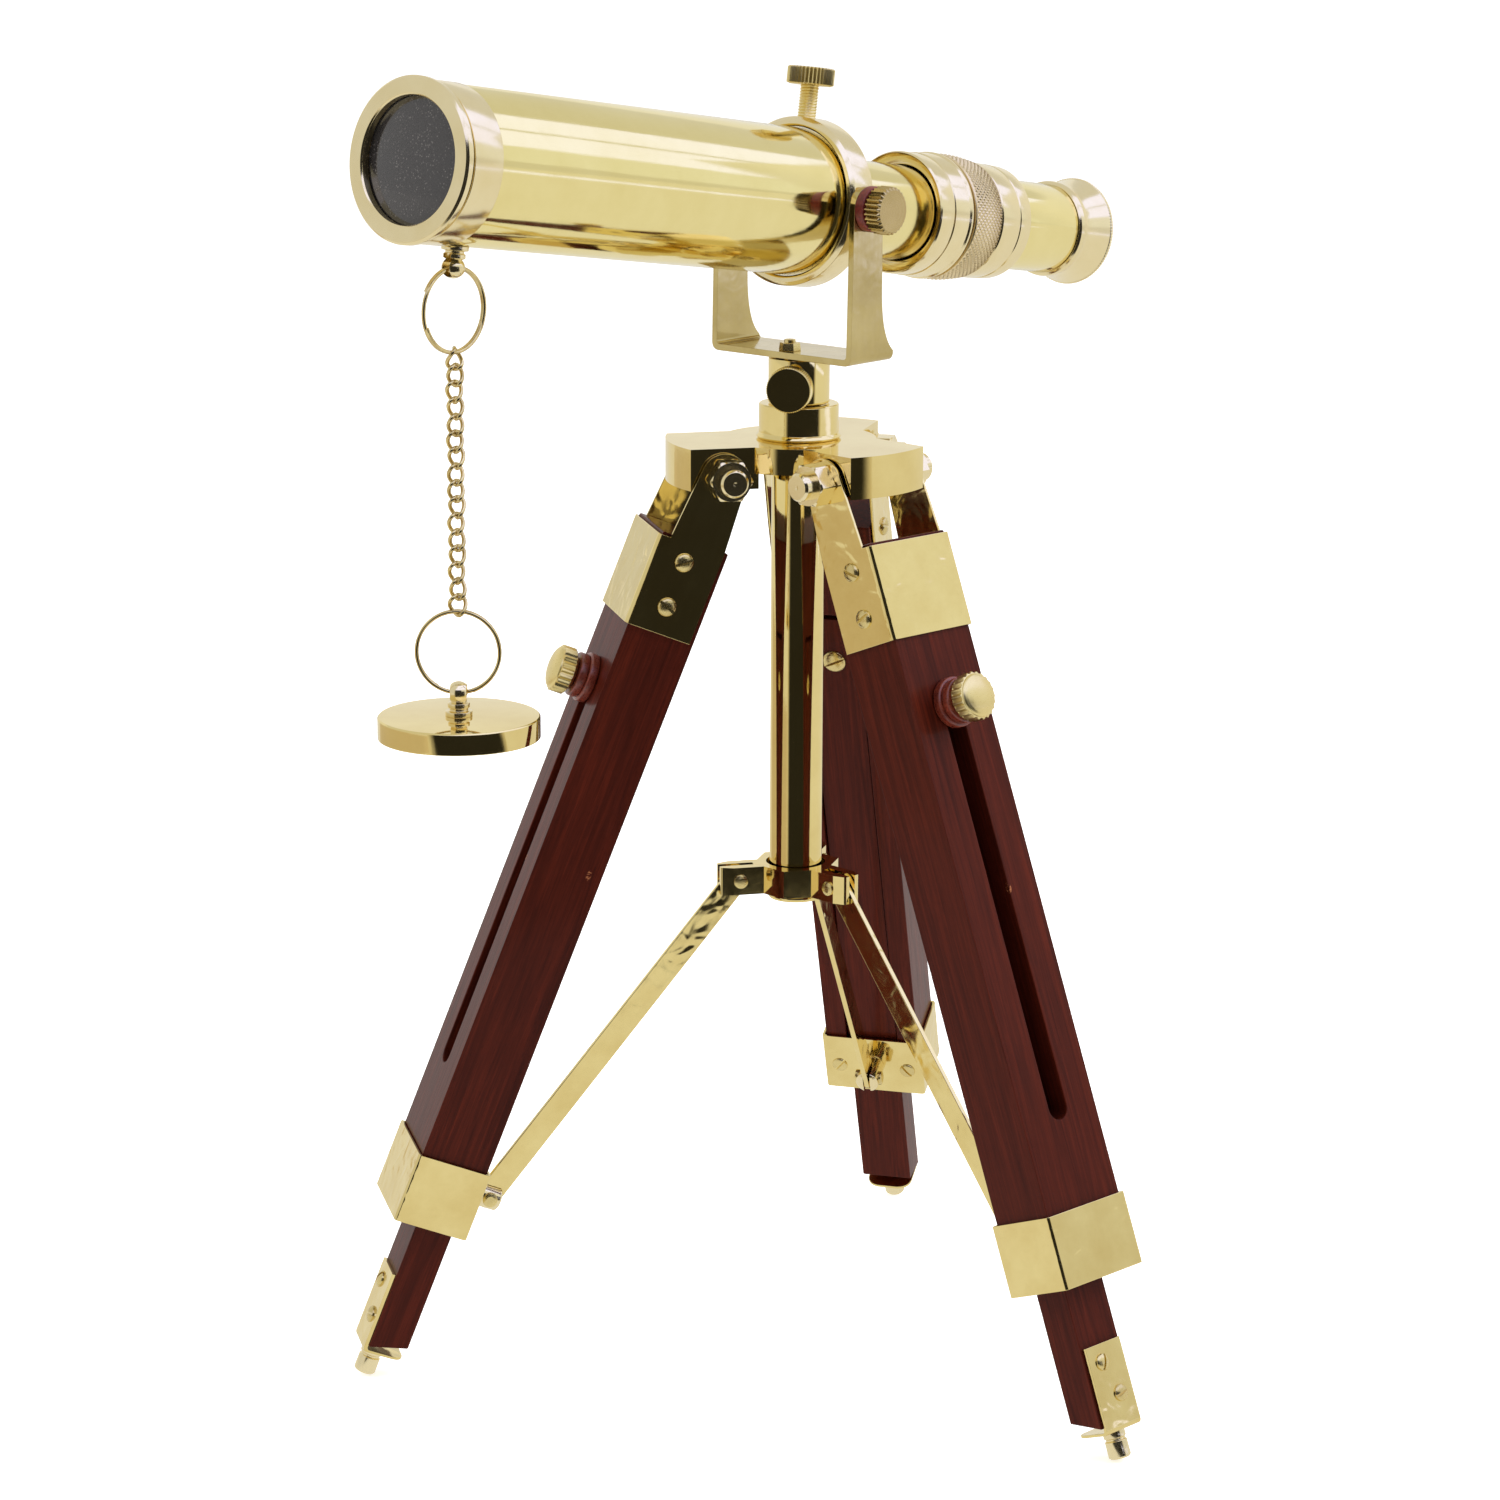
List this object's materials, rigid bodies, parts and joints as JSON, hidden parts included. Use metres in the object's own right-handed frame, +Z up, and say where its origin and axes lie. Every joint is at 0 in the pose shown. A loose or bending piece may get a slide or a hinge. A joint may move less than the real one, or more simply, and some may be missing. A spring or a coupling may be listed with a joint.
{
  "type": "tabletop telescope on tripod",
  "caption": "Brass spyglass with draw focus and lens cap on a chain, in a tilting yoke on a folding wooden tripod with sliding inner legs and a spreader.",
  "frame": {"origin": "middle of the footprint of the whole object, at the level of the surface its feet stand on", "axes": "+Z up; +X roughly from the objective to the eyepiece (the tube points 4.8 degrees off X, objective 8.5 degrees up); the front leg points along -Y"},
  "size_m": [0.2812, 0.2024, 0.3734],
  "materials": {
    "polished_brass": "polished",
    "stand_brass": "polished",
    "mahogany": "lacquered",
    "lens_glass": "polished",
    "red_fibre": "satin"
  },
  "bodies": {
    "tripod": {"hub_plate": "stand_brass", "socket": "stand_brass", "centre_column": "stand_brass"},
    "yoke": {"yoke": "stand_brass", "yoke_sleeve": "stand_brass", "yoke_screw": "stand_brass", "pivot_washer_far": "red_fibre", "pivot_washer_near": "red_fibre"},
    "azimuth_screw": {"azimuth_screw": "stand_brass"},
    "clamp": {"clamp_ring": "polished_brass"},
    "clamp_screw": {"clamp_screw": "polished_brass"},
    "pivot_knob_far": {"pivot_knob_far": "stand_brass"},
    "pivot_knob_near": {"pivot_knob_near": "stand_brass"},
    "main_tube": {"objective_bezel": "polished_brass", "objective_lens": "lens_glass", "objective_cell": "polished_brass", "main_tube": "polished_brass", "rear_bush": "polished_brass", "cap_stud": "polished_brass"},
    "draw_tube": {"draw_tube": "polished_brass", "erector_cell": "lens_glass", "draw_collar": "polished_brass", "end_ring": "polished_brass"},
    "focus_ring": {"focus_ring": "polished_brass"},
    "eyepiece": {"eyepiece_tube": "polished_brass", "eye_cup": "polished_brass", "eye_lens": "lens_glass", "field_lens": "lens_glass"},
    "upper_ring": {"upper_split_ring": "stand_brass"},
    "cap_chain": {"cap_chain": "stand_brass"},
    "lower_ring": {"lower_split_ring": "stand_brass"},
    "lens_cap": {"lens_cap": "stand_brass"},
    "spreader_collar": {"spreader_collar": "stand_brass"},
    "upper_leg_front": {"upper_leg_front": "mahogany", "top_bracket_front": "stand_brass", "hinge_bolt_front": "stand_brass", "ferrule_front": "stand_brass"},
    "inner_leg_front": {"inner_leg_front": "mahogany", "foot_bracket_front": "stand_brass", "clamp_bolt_front": "red_fibre"},
    "clamp_knob_front": {"clamp_knob_front": "stand_brass"},
    "spreader_arm_front": {"spreader_arm_front": "stand_brass"},
    "upper_leg_back": {"upper_leg_back": "mahogany", "top_bracket_back": "stand_brass", "hinge_bolt_back": "stand_brass", "ferrule_back": "stand_brass"},
    "inner_leg_back": {"inner_leg_back": "mahogany", "foot_bracket_back": "stand_brass", "clamp_bolt_back": "red_fibre"},
    "clamp_knob_back": {"clamp_knob_back": "stand_brass"},
    "spreader_arm_back": {"spreader_arm_back": "stand_brass"},
    "upper_leg_side": {"upper_leg_side": "mahogany", "top_bracket_side": "stand_brass", "hinge_bolt_side": "stand_brass", "ferrule_side": "stand_brass"},
    "inner_leg_side": {"inner_leg_side": "mahogany", "foot_bracket_side": "stand_brass", "clamp_bolt_side": "red_fibre"},
    "clamp_knob_side": {"clamp_knob_side": "stand_brass"},
    "spreader_arm_side": {"spreader_arm_side": "stand_brass"}
  },
  "joints": [
    {"name": "azimuth", "type": "hinge", "parent": "tripod", "child": "yoke", "pos_m": [0.01411, 0.02787, 0.2883], "axis": [0, 0, 1], "continuous": true},
    {"name": "azimuth_screw_turn", "type": "hinge", "parent": "yoke", "child": "azimuth_screw", "pos_m": [0.01411, 0.02787, 0.281], "axis": [-0.8192, -0.5736, 0], "range_deg": [0, 720]},
    {"name": "altitude", "type": "hinge", "parent": "yoke", "child": "clamp", "pos_m": [0.01311, 0.02779, 0.3306], "axis": [0.0837, -0.9965, 0], "range_deg": [-30, 46]},
    {"name": "pivot_knob_far_turn", "type": "hinge", "parent": "clamp", "child": "pivot_knob_far", "pos_m": [0.01311, 0.02779, 0.3306], "axis": [-0.0837, 0.9965, 0], "range_deg": [0, 720]},
    {"name": "pivot_knob_near_turn", "type": "hinge", "parent": "clamp", "child": "pivot_knob_near", "pos_m": [0.01311, 0.02779, 0.3306], "axis": [0.0837, -0.9965, 0], "range_deg": [0, 720]},
    {"name": "clamp_screw_turn", "type": "hinge", "parent": "clamp", "child": "clamp_screw", "pos_m": [0.01311, 0.02779, 0.3306], "axis": [0.1473, 0.0124, 0.989], "range_deg": [0, 720]},
    {"name": "tube_slide", "type": "slide", "parent": "clamp", "child": "main_tube", "axis": [0.9855, 0.0828, -0.1478], "range_m": [0, 0.02]},
    {"name": "draw_slide", "type": "slide", "parent": "main_tube", "child": "draw_tube", "axis": [0.9855, 0.0828, -0.1478], "range_m": [-0.03, 0.02]},
    {"name": "focus_turn", "type": "hinge", "parent": "draw_tube", "child": "focus_ring", "pos_m": [0.01311, 0.02779, 0.3306], "axis": [0.9855, 0.0828, -0.1478], "range_deg": [-185, 185]},
    {"name": "eyepiece_slide", "type": "slide", "parent": "draw_tube", "child": "eyepiece", "axis": [0.9855, 0.0828, -0.1478], "range_m": [-0.002, 0.002]},
    {"name": "upper_ring_swing", "type": "hinge", "parent": "main_tube", "child": "upper_ring", "pos_m": [-0.11972, 0.01663, 0.32494], "axis": [0.0837, -0.9965, 0], "range_deg": [-46.5, 30.5]},
    {"name": "chain_swing", "type": "hinge", "parent": "upper_ring", "child": "cap_chain", "pos_m": [-0.11972, 0.01663, 0.30364], "axis": [0.9965, 0.0837, 0], "range_deg": [-25, 25]},
    {"name": "lower_ring_swing", "type": "hinge", "parent": "cap_chain", "child": "lower_ring", "pos_m": [-0.11972, 0.01663, 0.23714], "axis": [-0.7071, 0.7071, 0], "range_deg": [-25, 25]},
    {"name": "cap_swing", "type": "hinge", "parent": "lower_ring", "child": "lens_cap", "pos_m": [-0.11972, 0.01663, 0.21584], "axis": [-0.7071, 0.7071, 0], "range_deg": [-25, 25]},
    {"name": "leg_fold_front", "type": "hinge", "parent": "tripod", "child": "upper_leg_front", "pos_m": [0.01411, 0.00357, 0.2574], "axis": [1, 0, 0], "range_deg": [0, 16.7]},
    {"name": "inner_leg_slide_front", "type": "slide", "parent": "upper_leg_front", "child": "inner_leg_front", "axis": [0, -0.3697, -0.9291], "range_m": [0, 0.114]},
    {"name": "leg_clamp_turn_front", "type": "hinge", "parent": "inner_leg_front", "child": "clamp_knob_front", "pos_m": [0.01411, -0.02102, 0.19562], "axis": [0, -0.9291, 0.3697], "range_deg": [0, 720]},
    {"name": "leg_fold_back", "type": "hinge", "parent": "tripod", "child": "upper_leg_back", "pos_m": [0.03515, 0.04002, 0.2574], "axis": [-0.5, 0.866, 0], "range_deg": [-0.5, 17.2]},
    {"name": "inner_leg_slide_back", "type": "slide", "parent": "upper_leg_back", "child": "inner_leg_back", "axis": [0.3202, 0.1849, -0.9291], "range_m": [0, 0.114]},
    {"name": "leg_clamp_turn_back", "type": "hinge", "parent": "inner_leg_back", "child": "clamp_knob_back", "pos_m": [0.05644, 0.05231, 0.19562], "axis": [0.8047, 0.4646, 0.3697], "range_deg": [0, 720]},
    {"name": "leg_fold_side", "type": "hinge", "parent": "tripod", "child": "upper_leg_side", "pos_m": [-0.00694, 0.04002, 0.2574], "axis": [-0.5, -0.866, 0], "range_deg": [-0.5, 17.2]},
    {"name": "inner_leg_slide_side", "type": "slide", "parent": "upper_leg_side", "child": "inner_leg_side", "axis": [-0.3202, 0.1849, -0.9291], "range_m": [0, 0.114]},
    {"name": "leg_clamp_turn_side", "type": "hinge", "parent": "inner_leg_side", "child": "clamp_knob_side", "pos_m": [-0.02823, 0.05231, 0.19562], "axis": [-0.8047, 0.4646, 0.3697], "range_deg": [0, 720]},
    {"name": "collar_slide", "type": "slide", "parent": "tripod", "child": "spreader_collar", "axis": [0, 0, 1], "range_m": [-0.0003, 0.0158]},
    {"name": "arm_fold_front", "type": "hinge", "parent": "spreader_collar", "child": "spreader_arm_front", "pos_m": [0.01411, 0.01087, 0.1397], "axis": [1, 0, 0], "range_deg": [-0.5, 34.6]},
    {"name": "arm_fold_back", "type": "hinge", "parent": "spreader_collar", "child": "spreader_arm_back", "pos_m": [0.02883, 0.03637, 0.1397], "axis": [-0.5, 0.866, 0], "range_deg": [-0.5, 34.6]},
    {"name": "arm_fold_side", "type": "hinge", "parent": "spreader_collar", "child": "spreader_arm_side", "pos_m": [-0.00062, 0.03637, 0.1397], "axis": [-0.5, -0.866, 0], "range_deg": [-0.5, 34.6]}
  ],
  "couplings": [
    {"joint": "focus_turn", "follows": "eyepiece_slide", "rad_per_m": 1570.8},
    {"joint": "upper_ring_swing", "follows": "altitude", "ratio": -1},
    {"joint": "leg_fold_back", "follows": "leg_fold_front", "ratio": 1},
    {"joint": "leg_fold_side", "follows": "leg_fold_front", "ratio": 1},
    {"joint": "collar_slide", "follows": "leg_fold_front", "m_per_rad": 0.052969},
    {"joint": "arm_fold_front", "follows": "leg_fold_front", "ratio": 2.0355},
    {"joint": "arm_fold_back", "follows": "leg_fold_front", "ratio": 2.0355},
    {"joint": "arm_fold_side", "follows": "leg_fold_front", "ratio": 2.0355}
  ]
}
